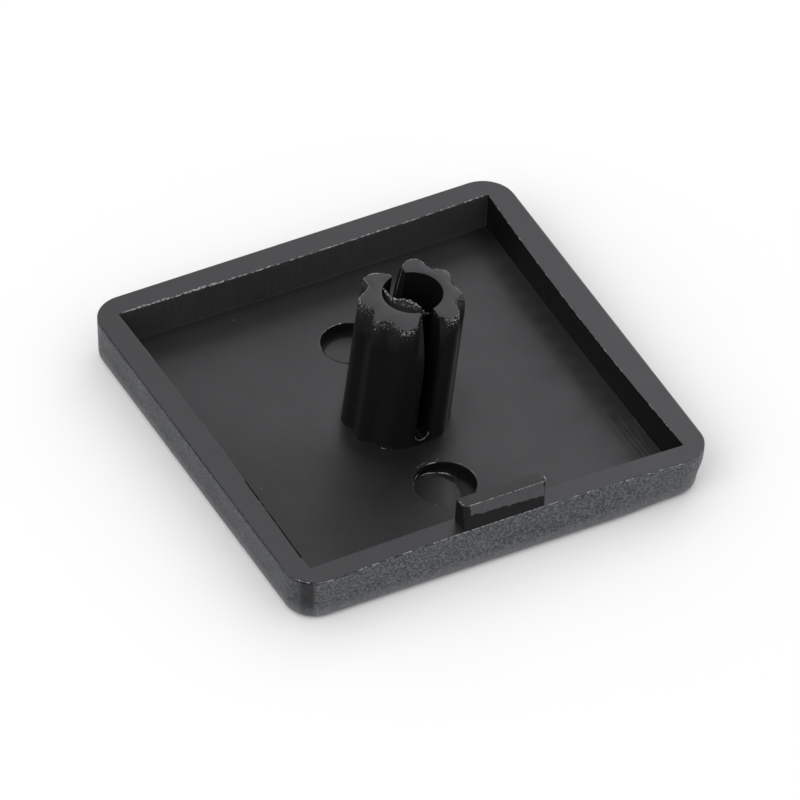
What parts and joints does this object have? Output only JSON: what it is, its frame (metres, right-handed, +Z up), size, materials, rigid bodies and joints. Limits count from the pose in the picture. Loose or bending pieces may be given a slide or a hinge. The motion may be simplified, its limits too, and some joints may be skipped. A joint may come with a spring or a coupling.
{
  "type": "profile end cap",
  "caption": "Shallow square push-in cap that closes the cut end of a slotted aluminium profile, with a fluted split peg for the core bore and a tab that keys into a slot.",
  "frame": {"origin": "centre of the flat show face, the face that is seen once the cap is fitted", "axes": "+Z runs up from the show face along the peg and is the way the cap is pushed in; the tab stands on the -Y side; X and Y are parallel to the sides of the square"},
  "size_m": [0.045, 0.045, 0.0162],
  "materials": {
    "cap_plastic": "black polyamide, smooth with a soft sheen inside and on the rim, fine matt grain on the outer sides"
  },
  "bodies": {
    "root": {"end_cap": "cap_plastic"}
  },
  "joints": []
}
